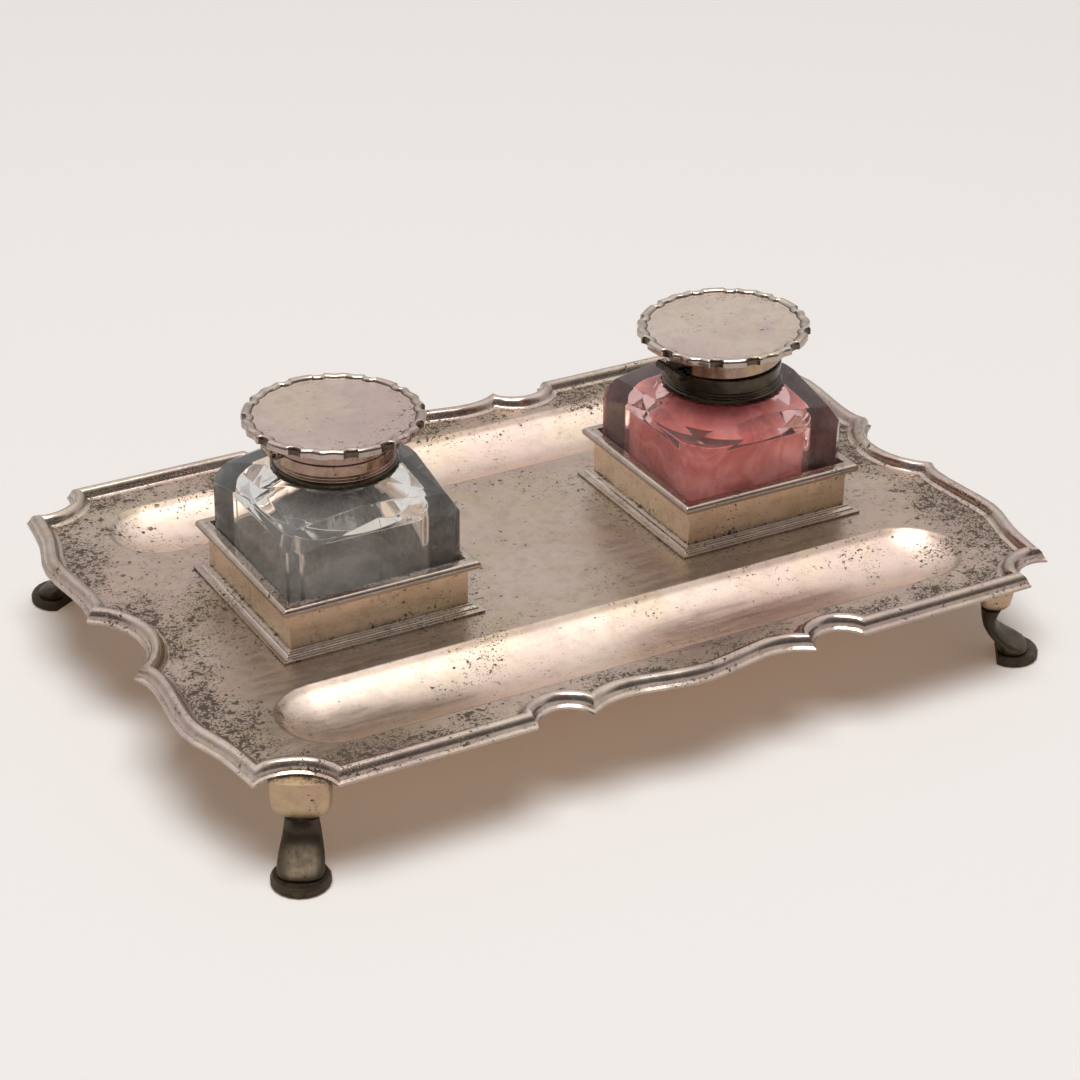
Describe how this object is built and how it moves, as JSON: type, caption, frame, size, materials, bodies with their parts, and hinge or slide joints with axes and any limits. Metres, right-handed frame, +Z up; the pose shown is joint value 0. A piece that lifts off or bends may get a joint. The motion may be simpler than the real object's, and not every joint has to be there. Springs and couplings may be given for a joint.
{
  "type": "desk_inkstand",
  "caption": "Desk inkstand: tarnished silver tray on cast feet with two pen wells and two hinged cut-glass inkwells, one clear and one stained by red ink",
  "frame": {"origin": "on the table, midway between the two inkwells", "axes": "+X runs along the tray towards the red-stained inkwell, -Y is the front, +Z is up"},
  "size_m": [0.271, 0.1888, 0.0898],
  "materials": {
    "tarnished_silver": "old silver sheet, warm grey-beige tarnish with small dark pits",
    "border_silver": "drawn silver moulding, bright on its bead and dark in its cove",
    "cast_silver": "cast silver, brown tarnish, lighter on the knees",
    "gallery_silver": "thin silver sheet with golden tarnish and black lines beside the mouldings",
    "clear_glass": "polished cut lead glass, faintly grey",
    "stained_glass": "polished cut glass, cloudy with dried red ink inside",
    "plaster": "old plaster bed, matt",
    "collar_silver": "silver band with golden and pink tarnish",
    "blackened_silver": "silver blackened by tarnish and ink",
    "hinge_steel": "dull hinge wire",
    "lid_silver": "satin silver, pinkish grey with fine specks"
  },
  "bodies": {
    "tray": {"tray": "tarnished_silver", "border_front": "border_silver", "border_back": "border_silver", "border_left": "border_silver", "border_right": "border_silver", "corner_front_left": "border_silver", "corner_front_right": "border_silver", "corner_back_left": "border_silver", "corner_back_right": "border_silver", "foot_front_left": "cast_silver", "foot_front_right": "cast_silver", "foot_back_left": "cast_silver", "foot_back_right": "cast_silver", "left_gallery_base": "border_silver", "left_gallery_walls": "gallery_silver", "left_gallery_rim": "border_silver", "right_gallery_base": "border_silver", "right_gallery_walls": "gallery_silver", "right_gallery_rim": "border_silver"},
    "left_bottle": {"left_glass": "clear_glass", "left_cement": "plaster", "left_collar": "collar_silver", "left_collar_ring": "blackened_silver", "left_collar_knuckles": "blackened_silver", "left_hinge_pin": "hinge_steel"},
    "right_bottle": {"right_glass": "stained_glass", "right_cement": "plaster", "right_collar": "collar_silver", "right_collar_ring": "blackened_silver", "right_collar_knuckles": "blackened_silver", "right_hinge_pin": "hinge_steel"},
    "left_lid": {"left_lid_knuckle": "blackened_silver", "left_lid_cap": "collar_silver", "left_lid_disc": "lid_silver", "left_lid_border": "lid_silver"},
    "right_lid": {"right_lid_knuckle": "blackened_silver", "right_lid_cap": "collar_silver", "right_lid_disc": "lid_silver", "right_lid_border": "lid_silver"}
  },
  "joints": [
    {"name": "left_bottle_lift", "type": "slide", "parent": "tray", "child": "left_bottle", "axis": [0, 0, 1], "range_m": [0, 0.02]},
    {"name": "right_bottle_lift", "type": "slide", "parent": "tray", "child": "right_bottle", "axis": [0, 0, 1], "range_m": [0, 0.02]},
    {"name": "left_lid_hinge", "type": "hinge", "parent": "left_bottle", "child": "left_lid", "pos_m": [-0.08445, 0.00136, 0.08007], "axis": [-0.0698, -0.9976, 0], "range_deg": [0, 88]},
    {"name": "right_lid_hinge", "type": "hinge", "parent": "right_bottle", "child": "right_lid", "pos_m": [0.04555, -0.00136, 0.07758], "axis": [0.0698, -0.9976, 0], "range_deg": [-2.5, 85.5]}
  ]
}
